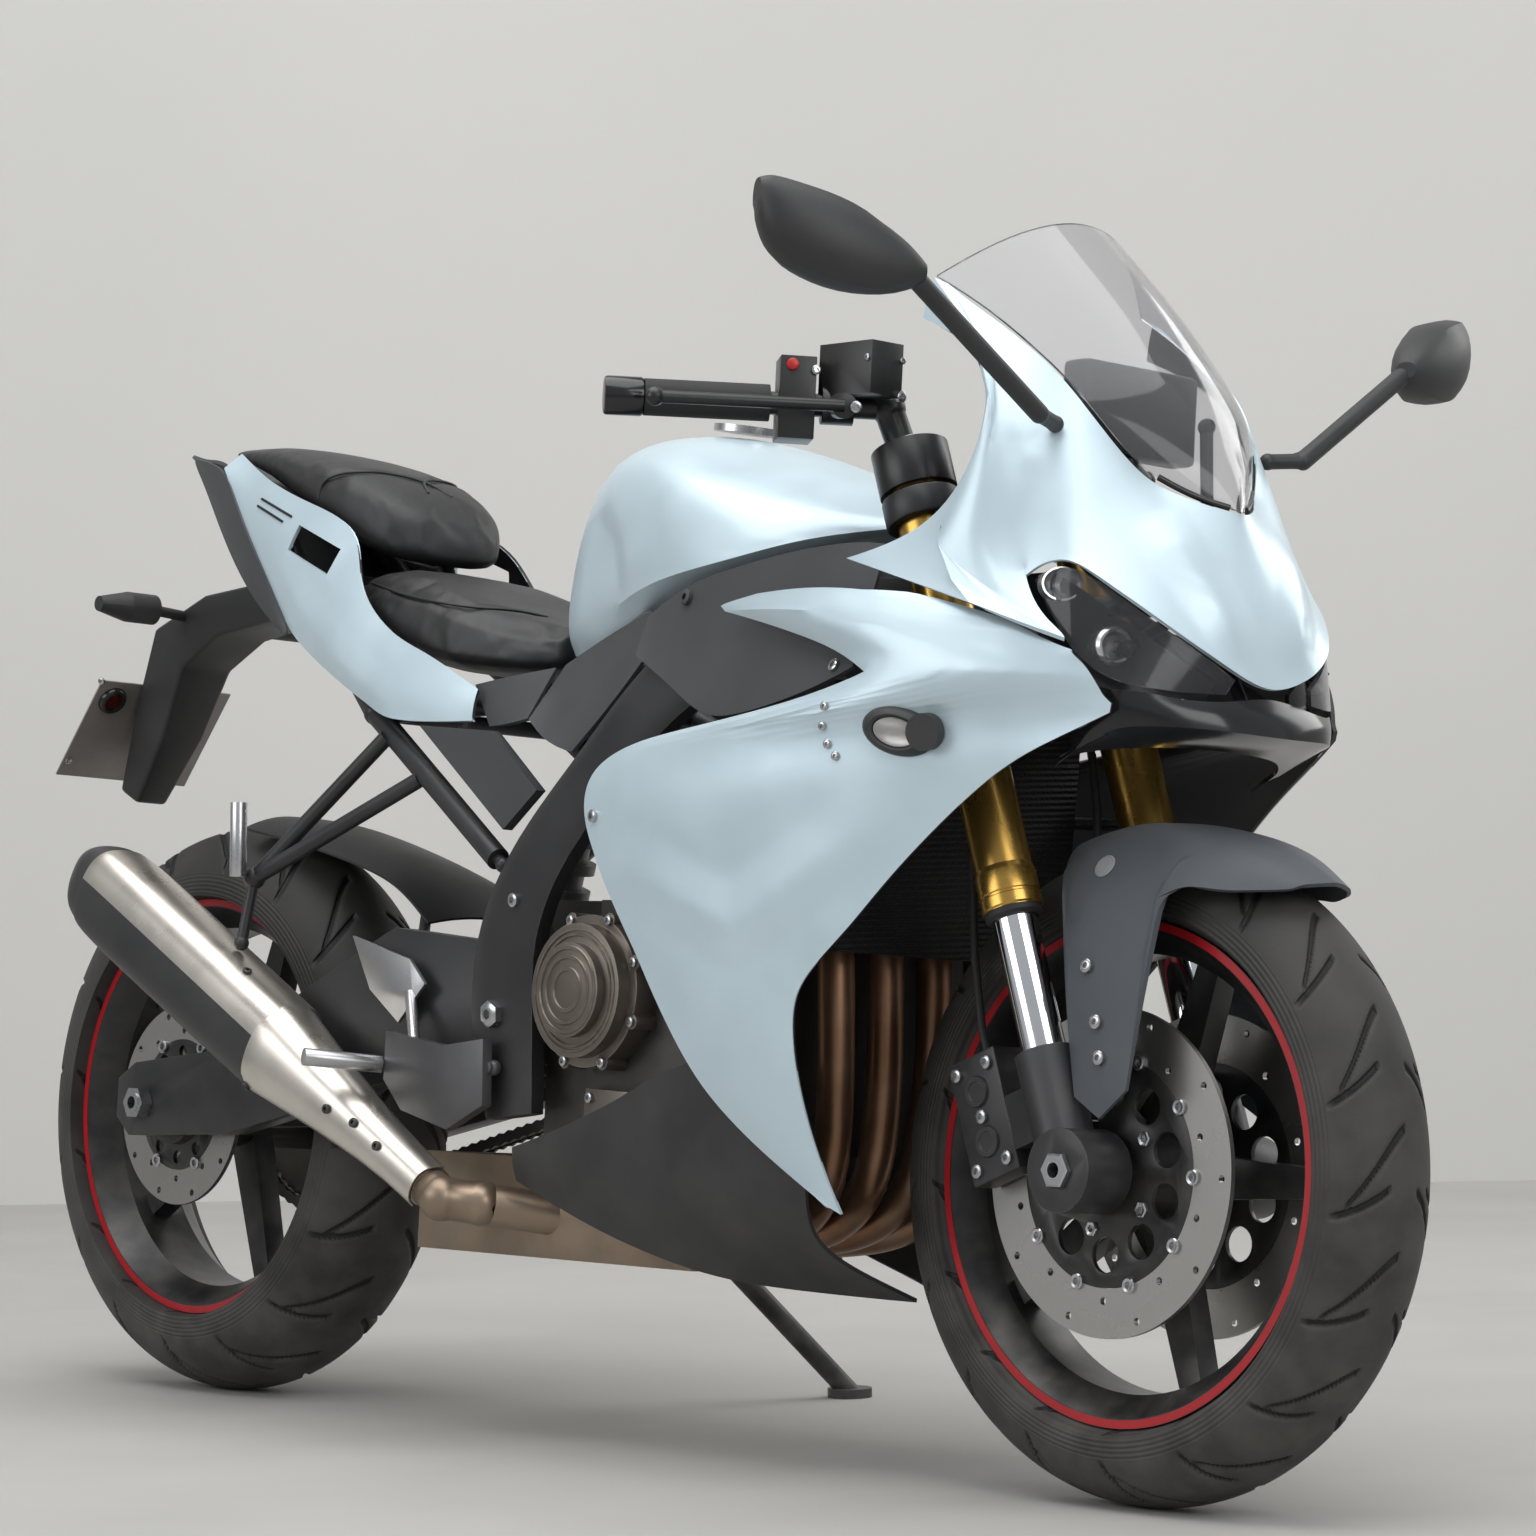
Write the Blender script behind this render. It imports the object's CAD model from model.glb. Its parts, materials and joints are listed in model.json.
import bpy
import json
import math
from mathutils import Matrix, Vector

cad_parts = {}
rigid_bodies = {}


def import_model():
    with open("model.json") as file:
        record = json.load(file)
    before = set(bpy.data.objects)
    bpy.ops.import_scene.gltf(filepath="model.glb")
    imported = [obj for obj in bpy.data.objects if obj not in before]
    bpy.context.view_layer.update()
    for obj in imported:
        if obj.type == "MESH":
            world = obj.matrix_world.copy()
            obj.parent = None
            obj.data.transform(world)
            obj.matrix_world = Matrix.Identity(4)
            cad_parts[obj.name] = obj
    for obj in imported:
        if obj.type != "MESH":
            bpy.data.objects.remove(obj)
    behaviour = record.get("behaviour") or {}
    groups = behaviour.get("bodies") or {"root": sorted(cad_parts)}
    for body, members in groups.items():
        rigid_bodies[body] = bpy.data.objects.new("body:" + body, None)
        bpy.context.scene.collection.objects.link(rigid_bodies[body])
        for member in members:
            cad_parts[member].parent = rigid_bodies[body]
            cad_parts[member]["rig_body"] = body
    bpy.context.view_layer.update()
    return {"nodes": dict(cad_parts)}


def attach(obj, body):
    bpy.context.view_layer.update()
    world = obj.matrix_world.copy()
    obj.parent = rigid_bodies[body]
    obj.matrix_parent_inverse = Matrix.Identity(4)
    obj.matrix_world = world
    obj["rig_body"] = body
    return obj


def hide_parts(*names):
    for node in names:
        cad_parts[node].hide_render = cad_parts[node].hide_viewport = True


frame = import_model()
node = frame["nodes"]
bpy.ops.object.select_all(action="DESELECT")

# Studio
# The picture was taken from the right front with a long lens, about five metres off.
# Floor and wall are plain pale cement, a stage and no part of the machine.
eye = Vector((3.8353, -3.3537, 0.6424))
turn, tip, roll = 2.4092, 0.0068, -0.0162
focal, half_frame = 4985.0, 768.0
ahead = Vector((math.cos(tip) * math.cos(turn), math.cos(tip) * math.sin(turn), math.sin(tip)))
level = ahead.cross(Vector((0, 0, 1))).normalized()
plumb = level.cross(ahead)
across = level * math.cos(roll) + plumb * math.sin(roll)
upward = plumb * math.cos(roll) - level * math.sin(roll)
lens = bpy.data.cameras.new("camera")
lens.sensor_width = 36.0
lens.lens = focal / (2 * half_frame) * lens.sensor_width
lens.clip_start, lens.clip_end = 0.1, 60
camera = bpy.data.objects.new("camera", lens)
camera.matrix_world = Matrix.Translation(eye) @ Matrix((across, upward, -ahead)).transposed().to_4x4()
bpy.context.scene.collection.objects.link(camera)
bpy.context.scene.camera = camera
bpy.context.scene.view_settings.view_transform = "Standard"


def wired(tree, *pairs):
    for start, end in pairs:
        tree.links.new(start, end)


def mixed(nodes, first=None, second=None):
    """A colour mix node, with those of its two colours that are constant."""
    tone = nodes.new("ShaderNodeMix")
    tone.data_type = "RGBA"
    for slot, colour in ((6, first), (7, second)):
        if colour:
            tone.inputs[slot].default_value = (*colour, 1)
    return tone


def noise(nodes, scale=5.0, detail=2.0):
    cloud = nodes.new("ShaderNodeTexNoise")
    cloud.inputs["Scale"].default_value = scale
    cloud.inputs["Detail"].default_value = detail
    return cloud


def cement(name, pale, dark, grain):
    material = bpy.data.materials.new(name)
    material.use_nodes = True
    nodes = material.node_tree.nodes
    skin = nodes["Principled BSDF"]
    cloud = noise(nodes, grain, 8)
    tone = mixed(nodes, pale, dark)
    wired(material.node_tree,
          (nodes.new("ShaderNodeTexCoord").outputs["Object"], cloud.inputs["Vector"]),
          (cloud.outputs["Fac"], tone.inputs[0]), (tone.outputs[2], skin.inputs["Base Color"]))
    skin.inputs["Roughness"].default_value = 0.9
    skin.inputs["Specular IOR Level"].default_value = 0.2
    return material


bpy.ops.mesh.primitive_plane_add(size=40)
floor = bpy.context.object
floor.name = "floor"
floor.data.materials.append(cement("floor_cement", (0.47, 0.46, 0.44), (0.36, 0.355, 0.34), 2.6))
bpy.ops.mesh.primitive_plane_add(size=40)
wall = bpy.context.object
wall.name = "wall"
flat_ahead = Vector((ahead.x, ahead.y, 0)).normalized()
wall.data.transform(Matrix.Translation(Vector((eye.x, eye.y, 0)) + flat_ahead * 8.2)
                    @ (-flat_ahead).to_track_quat("Z", "Y").to_matrix().to_4x4())
wall_cement = cement("wall_cement", (0.62, 0.61, 0.59), (0.55, 0.545, 0.52), 0.8)
wall.data.materials.append(wall_cement)
# The wall shows from the machine's side alone, so a view from behind it looks through.
wall_tree = wall_cement.node_tree
one_sided = wall_tree.nodes.new("ShaderNodeMixShader")
wired(wall_tree,
      (wall_tree.nodes.new("ShaderNodeNewGeometry").outputs["Backfacing"], one_sided.inputs[0]),
      (wall_tree.nodes["Principled BSDF"].outputs[0], one_sided.inputs[1]),
      (wall_tree.nodes.new("ShaderNodeBsdfTransparent").outputs[0], one_sided.inputs[2]),
      (one_sided.outputs[0], wall_tree.nodes["Material Output"].inputs["Surface"]))

sky = bpy.data.worlds.new("overcast")
sky.use_nodes = True
sky.node_tree.nodes["Background"].inputs["Color"].default_value = (0.80, 0.83, 0.87, 1)
sky.node_tree.nodes["Background"].inputs["Strength"].default_value = 0.55
bpy.context.scene.world = sky


def softbox(name, place, target, wide, high, power):
    lamp = bpy.data.lights.new(name, "AREA")
    lamp.shape = "RECTANGLE"
    lamp.size, lamp.size_y, lamp.energy = wide, high, power
    box = bpy.data.objects.new(name, lamp)
    box.location = place
    box.rotation_euler = (Vector(target) - Vector(place)).to_track_quat("-Z", "Y").to_euler()
    bpy.context.scene.collection.objects.link(box)


softbox("top_softbox", (0.2, -0.6, 4.2), (0, 0, 0.4), 5.0, 4.0, 180)
softbox("front_softbox", (4.2, -0.6, 2.3), (0.4, 0, 0.7), 2.6, 2.2, 60)
softbox("side_softbox", (-1.2, -4.6, 2.4), (0, 0, 0.6), 3.4, 2.0, 60)
softbox("far_softbox", (0.4, 4.2, 2.6), (0, 0, 0.6), 3.4, 2.0, 60)

# Frame
# Two cast aluminium spars run from the steering head down to the swingarm pivot, with a welded
# steel rear frame behind them. All are powder coated satin black and bolted together.
LEAN, CROWN = math.radians(5), 80.0
MIDDLE = (694.0, (1103 - CROWN) * math.sin(LEAN))
RAKE = math.radians(21)
WHEELBASE, FRONT_R, REAR_R = 1400, 300, 312


def bike(x, y, z):
    """Millimetres on the upright machine, from under the rear axle, to metres as it is parked."""
    c, s = math.cos(LEAN), math.sin(LEAN)
    up = z - CROWN
    return Vector((x - MIDDLE[0], y * c + up * s - MIDDLE[1], up * c - y * s + CROWN)) / 1000


axle_way = (bike(0, 1, 0) - bike(0, 0, 0)).normalized()
steer_way = (bike(-math.sin(RAKE), 0, math.cos(RAKE)) - bike(0, 0, 0)).normalized()


def far_side(point):
    """The mirror image of a place on the machine's other side."""
    return point - 2 * (point - bike(0, 0, 0)).dot(axle_way) * axle_way


def only(piece):
    bpy.ops.object.select_all(action="DESELECT")
    piece.select_set(True)
    bpy.context.view_layer.objects.active = piece


def placed(name, data):
    """A new object in the scene, made the active one."""
    piece = bpy.data.objects.new(name, data)
    bpy.context.scene.collection.objects.link(piece)
    only(piece)
    return piece


def worked(piece, kind, **settings):
    """Gives the active piece one modifier with its settings, and applies it."""
    step = piece.modifiers.new(kind.lower(), kind)
    for label, value in settings.items():
        setattr(step, label, value)
    bpy.ops.object.modifier_apply(modifier=step.name)


def mesh_open():
    bpy.ops.object.mode_set(mode="EDIT")
    bpy.ops.mesh.select_all(action="SELECT")


def mesh_shut():
    bpy.ops.object.mode_set(mode="OBJECT")


def shader_group(name, takes, gives):
    group = bpy.data.node_groups.new(name, "ShaderNodeTree")
    for label, kind, value in takes:
        socket = group.interface.new_socket(name=label, in_out="INPUT", socket_type="NodeSocket" + kind)
        if value is not None:
            socket.default_value = value
    for label, kind in gives:
        group.interface.new_socket(name=label, in_out="OUTPUT", socket_type="NodeSocket" + kind)
    return group, group.nodes.new("NodeGroupInput"), group.nodes.new("NodeGroupOutput")


def sloped(nodes, low, high, to_low=0.0, to_high=1.0):
    ramp = nodes.new("ShaderNodeMapRange")
    for label, value in (("From Min", low), ("From Max", high), ("To Min", to_low), ("To Max", to_high)):
        ramp.inputs[label].default_value = value
    return ramp


def sum_of(nodes, kind):
    step = nodes.new("ShaderNodeMath")
    step.operation = kind
    return step


# Grain is the fine tooth of a surface, with broad patches where it is a little worn.
grain_group, taken, given = shader_group(
    "surface_grain", [("Vector", "Vector", None), ("Scale", "Float", 600.0)],
    [("Height", "Float"), ("Patch", "Float")])
fine = noise(grain_group.nodes, detail=3)
broad = noise(grain_group.nodes, 11, 5)
patch = sloped(grain_group.nodes, 0.36, 0.66)
wired(grain_group,
      (taken.outputs["Vector"], fine.inputs["Vector"]),
      (taken.outputs["Scale"], fine.inputs["Scale"]),
      (taken.outputs["Vector"], broad.inputs["Vector"]),
      (broad.outputs["Fac"], patch.inputs["Value"]),
      (fine.outputs["Fac"], given.inputs["Height"]),
      (patch.outputs["Result"], given.inputs["Patch"]))

# Road film is the thin grey dust that settles low on the machine.
film_group, taken, given = shader_group(
    "road_film", [("Vector", "Vector", None), ("Color", "Color", None),
                  ("Film", "Color", (0.26, 0.24, 0.21, 1)), ("Top", "Float", 0.55),
                  ("Amount", "Float", 0.3)], [("Color", "Color")])
height = film_group.nodes.new("ShaderNodeSeparateXYZ")
sink = sloped(film_group.nodes, 0, 1, 1, 0)
smear = noise(film_group.nodes, 23, 6)
blot = sloped(film_group.nodes, 0.35, 0.75)
wash = sum_of(film_group.nodes, "MULTIPLY")
part = sum_of(film_group.nodes, "MULTIPLY")
coat = mixed(film_group.nodes)
wired(film_group,
      (taken.outputs["Vector"], height.inputs[0]),
      (taken.outputs["Vector"], smear.inputs["Vector"]),
      (taken.outputs["Top"], sink.inputs["From Max"]),
      (height.outputs["Z"], sink.inputs["Value"]),
      (smear.outputs["Fac"], blot.inputs["Value"]),
      (sink.outputs["Result"], wash.inputs[0]),
      (blot.outputs["Result"], wash.inputs[1]),
      (wash.outputs[0], part.inputs[0]),
      (taken.outputs["Amount"], part.inputs[1]),
      (part.outputs[0], coat.inputs[0]),
      (taken.outputs["Color"], coat.inputs[6]),
      (taken.outputs["Film"], coat.inputs[7]),
      (coat.outputs[2], given.inputs["Color"]))

# Edge wear is the paler line where hands and boots have rubbed a corner.
wear_group, taken, given = shader_group("edge_wear", [("Vector", "Vector", None)], [("Mask", "Float")])
eased_normal = wear_group.nodes.new("ShaderNodeBevel")
eased_normal.samples = 4
eased_normal.inputs["Radius"].default_value = 0.0016
true_normal = wear_group.nodes.new("ShaderNodeNewGeometry")
likeness = wear_group.nodes.new("ShaderNodeVectorMath")
likeness.operation = "DOT_PRODUCT"
corner = sloped(wear_group.nodes, 0.985, 0.90)
rub = noise(wear_group.nodes, 60)
rubbed = sloped(wear_group.nodes, 0.42, 0.62)
worn = sum_of(wear_group.nodes, "MULTIPLY")
wired(wear_group,
      (eased_normal.outputs[0], likeness.inputs[0]),
      (true_normal.outputs["Normal"], likeness.inputs[1]),
      (likeness.outputs["Value"], corner.inputs["Value"]),
      (taken.outputs["Vector"], rub.inputs["Vector"]),
      (rub.outputs["Fac"], rubbed.inputs["Value"]),
      (corner.outputs["Result"], worn.inputs[0]),
      (rubbed.outputs["Result"], worn.inputs[1]),
      (worn.outputs[0], given.inputs["Mask"]))


def finish(name, colour, shade, rough, metal=0.0, grain=600.0, tooth=0.05, film=0.0, wear=None,
           coat_weight=0.0):
    """A finish with its own grain, a second tone in patches, road film low down and rubbed corners."""
    material = bpy.data.materials.new(name)
    material.use_nodes = True
    nodes, links = material.node_tree.nodes, material.node_tree.links
    skin = nodes["Principled BSDF"]
    place = nodes.new("ShaderNodeTexCoord")
    texture = nodes.new("ShaderNodeGroup")
    texture.node_tree = grain_group
    texture.inputs["Scale"].default_value = grain
    tone = mixed(nodes, colour, shade)
    links.new(place.outputs["Object"], texture.inputs["Vector"])
    links.new(texture.outputs["Patch"], tone.inputs[0])
    last = tone.outputs[2]
    if wear:
        corners = nodes.new("ShaderNodeGroup")
        corners.node_tree = wear_group
        links.new(place.outputs["Object"], corners.inputs["Vector"])
        rubbed_tone = mixed(nodes, None, wear)
        links.new(corners.outputs["Mask"], rubbed_tone.inputs[0])
        links.new(last, rubbed_tone.inputs[6])
        last = rubbed_tone.outputs[2]
    if film:
        dust = nodes.new("ShaderNodeGroup")
        dust.node_tree = film_group
        dust.inputs["Amount"].default_value = film
        links.new(place.outputs["Object"], dust.inputs["Vector"])
        links.new(last, dust.inputs["Color"])
        last = dust.outputs["Color"]
    links.new(last, skin.inputs["Base Color"])
    spread = sloped(nodes, 0, 1, max(rough - 0.05, 0.02), min(rough + 0.06, 1))
    links.new(texture.outputs["Patch"], spread.inputs["Value"])
    links.new(spread.outputs["Result"], skin.inputs["Roughness"])
    bump = nodes.new("ShaderNodeBump")
    bump.inputs["Strength"].default_value = tooth
    bump.inputs["Distance"].default_value = 0.0006
    links.new(texture.outputs["Height"], bump.inputs["Height"])
    links.new(bump.outputs["Normal"], skin.inputs["Normal"])
    skin.inputs["Metallic"].default_value = metal
    skin.inputs["Coat Weight"].default_value = coat_weight
    skin.inputs["Coat Roughness"].default_value = 0.08
    return material


def wear_as(material, *names):
    for name in names:
        for held in node[name].material_slots:
            held.material = material


def copy_of(name):
    """The solid's own mesh as a new piece, with its loose triangles merged."""
    mesh = node[name].data.copy()
    mesh.materials.clear()
    piece = placed(name + "_dressed", mesh)
    if mesh.attributes.get("custom_normal"):
        mesh.attributes.remove(mesh.attributes["custom_normal"])
    mesh_open()
    bpy.ops.mesh.remove_doubles(threshold=0.00002)
    mesh_shut()
    return piece


def settle(piece, name, material):
    piece.data.materials.append(material)
    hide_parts(name)
    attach(piece, node[name]["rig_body"])
    return piece


def pick_folds(fold):
    """Selects the edges of the open mesh that fold by more than an angle, and shuts it."""
    bpy.ops.mesh.select_all(action="DESELECT")
    bpy.ops.mesh.select_mode(type="EDGE")
    bpy.ops.mesh.edges_select_sharp(sharpness=math.radians(fold))
    mesh_shut()


def rounded_panel(name, material, fold=32, levels=2, calm=0):
    """A moulded panel: facets are drawn into one smooth face, folds stay and dents are eased out."""
    piece = copy_of(name)
    mesh_open()
    bpy.ops.mesh.tris_convert_to_quads(face_threshold=0.9, shape_threshold=1.2)
    pick_folds(fold)
    crease = piece.data.attributes.new("crease_edge", "FLOAT", "EDGE")
    for k, edge in enumerate(piece.data.edges):
        crease.data[k].value = 1.0 if edge.select else 0.0
    worked(piece, "SUBSURF", levels=levels, render_levels=levels)
    if calm:
        bpy.ops.object.mode_set(mode="EDIT")
        pick_folds(fold)
        inner = piece.vertex_groups.new(name="inner")
        inner.add([point.index for point in piece.data.vertices if not point.select], 1.0, "REPLACE")
        worked(piece, "SMOOTH", factor=0.5, iterations=calm, vertex_group="inner")
    bpy.ops.object.shade_smooth_by_angle(angle=math.radians(fold))
    return settle(piece, name, material)


def eased_casting(name, material, width=0.0025, fold=28):
    """A cast or machined piece: its corners get the small radius of a real one."""
    piece = copy_of(name)
    mesh_open()
    bpy.ops.mesh.dissolve_limited(angle_limit=math.radians(0.5))
    mesh_shut()
    worked(piece, "BEVEL", width=width, segments=2, limit_method="ANGLE", angle_limit=math.radians(40))
    bpy.ops.object.shade_smooth_by_angle(angle=math.radians(fold))
    return settle(piece, name, material)


frame_black = finish("frame_black", (0.022, 0.022, 0.024), (0.032, 0.032, 0.034), 0.42, 0.2, 700, 0.12, 0.15,
                     (0.10, 0.10, 0.10))


def seen(px, py, *pieces):
    """Where the sight line through a picture point, or close by, first meets a piece, and its face's way."""
    bpy.context.view_layer.update()
    for miss in range(480):
        away = miss // 8 * 2
        x = px + away * math.cos(miss * math.pi / 4)
        y = py + away * math.sin(miss * math.pi / 4)
        way = (ahead + across * ((x - half_frame) / focal) - upward * ((y - half_frame) / focal)).normalized()
        found = [piece.ray_cast(eye, way) for piece in pieces]
        found = [(place, face) for met, place, face, _ in found if met]
        if found:
            return min(found, key=lambda hit: (hit[0] - eye).length)


def line_pair(line):
    return line, [far_side(p) for p in line]


def both_sides(spots):
    return spots + [(far_side(p), far_side(p + w) - far_side(p)) for p, w in spots]


def pick_faces(piece, way, least=0.9):
    """Selects the faces that look one way, in edit mode."""
    bpy.ops.mesh.select_mode(type="FACE")
    bpy.ops.mesh.select_all(action="DESELECT")
    mesh_shut()
    for face in piece.data.polygons:
        face.select = face.normal.dot(Vector(way)) > least
    bpy.ops.object.mode_set(mode="EDIT")


def joined(name, pieces, material, body):
    only(pieces[0])
    for piece in pieces[1:]:
        piece.select_set(True)
    if len(pieces) > 1:
        bpy.ops.object.join()
    pieces[0].name = pieces[0].data.name = name
    pieces[0].data.materials.clear()
    pieces[0].data.materials.append(material)
    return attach(pieces[0], body)


def copied(first, moves):
    """Copies of a modelled piece, each with its own mesh, set down by its move."""
    made = []
    for move in moves:
        piece = first.copy()
        piece.data = first.data.copy()
        piece.data.transform(move)
        bpy.context.scene.collection.objects.link(piece)
        made.append(piece)
    bpy.data.objects.remove(first)
    return made


def second_finish(piece, material, chosen):
    """Gives the chosen faces of a piece a second material."""
    piece.data.materials.append(material)
    for face in piece.data.polygons:
        face.material_index = 1 if chosen(face) else 0


def looking(place, way):
    return Matrix.Translation(place) @ way.to_track_quat("Z", "Y").to_matrix().to_4x4()


def screw_heads(name, body, spots, radius, material, sides=20):
    """Button heads with a round rim and a sunk socket, each on its spot."""
    bpy.ops.object.select_all(action="DESELECT")
    bpy.ops.mesh.primitive_cylinder_add(vertices=sides, radius=radius, depth=radius * 0.7)
    first = bpy.context.object
    bpy.ops.object.mode_set(mode="EDIT")
    pick_faces(first, (0, 0, 1))
    bpy.ops.mesh.inset(thickness=radius * 0.2)
    bpy.ops.transform.translate(value=(0, 0, radius * 0.14))
    bpy.ops.mesh.inset(thickness=radius * 0.34)
    bpy.ops.mesh.extrude_region_move(TRANSFORM_OT_translate={"value": (0, 0, -radius * 0.45)})
    mesh_shut()
    bpy.ops.object.shade_smooth_by_angle(angle=math.radians(50))
    return joined(name, copied(first, [looking(p + w * radius * 0.2, w) for p, w in spots]), material, body)


def turned(profile, steps=32):
    """A piece turned round Z from its half section, radius and height in millimetres."""
    mesh = bpy.data.meshes.new("turned")
    edges = [(k, k + 1) for k in range(len(profile) - 1)]
    mesh.from_pydata([(r / 1000, 0, z / 1000) for r, z in profile], edges, [])
    piece = placed("turned", mesh)
    worked(piece, "SCREW", axis="Z", angle=2 * math.pi, steps=steps, render_steps=steps)
    mesh_open()
    bpy.ops.mesh.remove_doubles(threshold=0.00001)
    bpy.ops.mesh.normals_make_consistent(inside=False)
    mesh_shut()
    bpy.ops.object.shade_smooth_by_angle(angle=math.radians(35))
    return piece


def hose(name, body, points, radius, material):
    """A round cord, rib or strip through its points."""
    line = bpy.data.curves.new(name, "CURVE")
    line.dimensions = "3D"
    run = line.splines.new("BEZIER")
    run.bezier_points.add(len(points) - 1)
    for knot, place in zip(run.bezier_points, points):
        knot.co = place
        knot.handle_left_type = knot.handle_right_type = "AUTO"
    line.bevel_depth, line.bevel_resolution, line.resolution_u, line.use_fill_caps = radius, 4, 8, True
    placed(name, line)
    bpy.ops.object.convert(target="MESH")
    bpy.ops.object.shade_smooth()
    return joined(name, [bpy.context.object], material, body)


def way_of(x, y, z):
    return (bike(x, y, z) - bike(0, 0, 0)).normalized()


spars = [rounded_panel(name, frame_black, 48) for name in ("frame_right", "frame_left")]
wear_as(frame_black, "head_tube", "subframe", "stand_bracket")
bolt_steel = finish("bolt_steel", (0.52, 0.52, 0.53), (0.42, 0.42, 0.43), 0.25, 0.95, 700, 0.05)
pivot_bolt_pixel = (494, 1014)
spar_bolt_pixels = ((515, 900), (486, 1100))
spots = both_sides([seen(*pivot_bolt_pixel, spars[0])])
screw_heads("pivot_bolts", "chassis", spots, 0.014, bolt_steel, 6)
spots = both_sides([seen(*px, spars[0]) for px in spar_bolt_pixels])
screw_heads("spar_bolts", "chassis", spots, 0.007, bolt_steel)

# Engine
# A cast aluminium block, painted dark, with bronze grey covers bolted over clutch and alternator.
case_grey = finish("case_grey", (0.055, 0.053, 0.052), (0.085, 0.08, 0.075), 0.5, 0.6, 420, 0.25, 0.5,
                   (0.2, 0.19, 0.18))
cover_bronze = finish("cover_bronze", (0.15, 0.128, 0.108), (0.19, 0.165, 0.14), 0.38, 0.75, 520, 0.12, 0.35,
                      (0.34, 0.31, 0.27))
eased_casting("engine_block", case_grey, 0.004)
eased_casting("engine_covers", cover_bronze, 0.004)
cover_face, low_cover_face = 166.6, 155.6
cover_screws = []
for side, at_x, at_z, reach in ((-1, 777, 447, 75), (1, 880, 448, 70)):
    for k in range(8):
        a = math.radians(45 * (k + 0.5))
        place = bike(at_x + reach * math.cos(a), side * cover_face, at_z + reach * math.sin(a))
        cover_screws.append((place, axle_way * side))
for at_x, at_z in ((777, 343), (832, 342), (842, 327), (804, 311), (776, 317)):
    cover_screws.append((bike(at_x, -low_cover_face, at_z), -axle_way))
screw_heads("cover_screws", "chassis", cover_screws, 0.0052, bolt_steel)
rings = [turned([(r, 0), (r + 0.8, 1.4), (r + 4, 1.4), (r + 5, 0)], 48) for r in (18, 30, 39)]
rings += [turned([(r, 0), (r + 0.6, 1.2), (r + 2.4, 1.2), (r + 3, 0)], 48) for r in (53, 58)]
for ring, depth in zip(rings, (52, 52, 52, 41.6, 41.6)):
    ring.data.transform(looking(bike(777, -140.3 - depth, 447), -axle_way))
joined("clutch_rings", rings, cover_bronze, "chassis")

# Radiator
# A black aluminium core of thin folded fins between flat tubes, soldered into two end tanks.
fin_black = finish("fin_black", (0.012, 0.012, 0.013), (0.022, 0.022, 0.022), 0.55, 0.5, 300, 0.1, 0.2)
nodes, links = fin_black.node_tree.nodes, fin_black.node_tree.links
fins = nodes.new("ShaderNodeTexWave")
fins.bands_direction = "Z"
fins.inputs["Scale"].default_value = 55
fins.inputs["Distortion"].default_value = 1.2
fins.inputs["Detail Scale"].default_value = 4
fold = nodes.new("ShaderNodeBump")
fold.inputs["Strength"].default_value = 0.9
fold.inputs["Distance"].default_value = 0.003
links.new(nodes["Texture Coordinate"].outputs["Object"], fins.inputs["Vector"])
links.new(fins.outputs["Fac"], fold.inputs["Height"])
links.new(fold.outputs["Normal"], nodes["Principled BSDF"].inputs["Normal"])
eased_casting("radiator", fin_black)

# Exhaust
# Four mild steel headers, blued and browned by heat, run down into a collector box; the silencer
# is a brushed shell with a dark lower face, an end cap and a tapered link pipe.
header_steel = finish("header_steel", (0.19, 0.095, 0.05), (0.30, 0.17, 0.10), 0.36, 0.85, 90, 0.05, 0.6)
collector_steel = finish("collector_steel", (0.33, 0.25, 0.18), (0.22, 0.16, 0.11), 0.42, 0.8, 160, 0.1, 0.5)
silencer_steel = finish("silencer_steel", (0.60, 0.56, 0.50), (0.68, 0.64, 0.58), 0.30, 0.95, 900, 0.04, 0.1)
cap_grey = finish("cap_grey", (0.035, 0.035, 0.037), (0.05, 0.05, 0.05), 0.45, 0.3, 700, 0.1)
rounded_panel("exhaust_headers", header_steel, 60)
eased_casting("exhaust_box", collector_steel, 0.02)
silencer = rounded_panel("muffler", silencer_steel, 50)
link_cone = rounded_panel("muffler_cone", silencer_steel, 50)
silencer.data.materials.append(cap_grey)
slope, turned_in = math.radians(27.5), math.radians(1.5)
level_share = math.cos(slope)
pipe_way = way_of(level_share * math.cos(turned_in), level_share * math.sin(turned_in), -math.sin(slope))
cap_end = bike(-20, -208, 557) + pipe_way * 0.0495 * 0.676
low_face = way_of(0, -0.75, -1)
low_face = (low_face - pipe_way * low_face.dot(pipe_way)).normalized()
only(silencer)
bpy.ops.object.mode_set(mode="EDIT")
for place, way in ((cap_end, pipe_way), (cap_end + low_face * 0.018, low_face)):
    bpy.ops.mesh.select_all(action="SELECT")
    bpy.ops.mesh.bisect(plane_co=place, plane_no=way)
mesh_shut()
for face in silencer.data.polygons:
    off = face.center - cap_end
    face.material_index = 1 if off.dot(pipe_way) < 0 or off.dot(low_face) > 0.018 else 0


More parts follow.
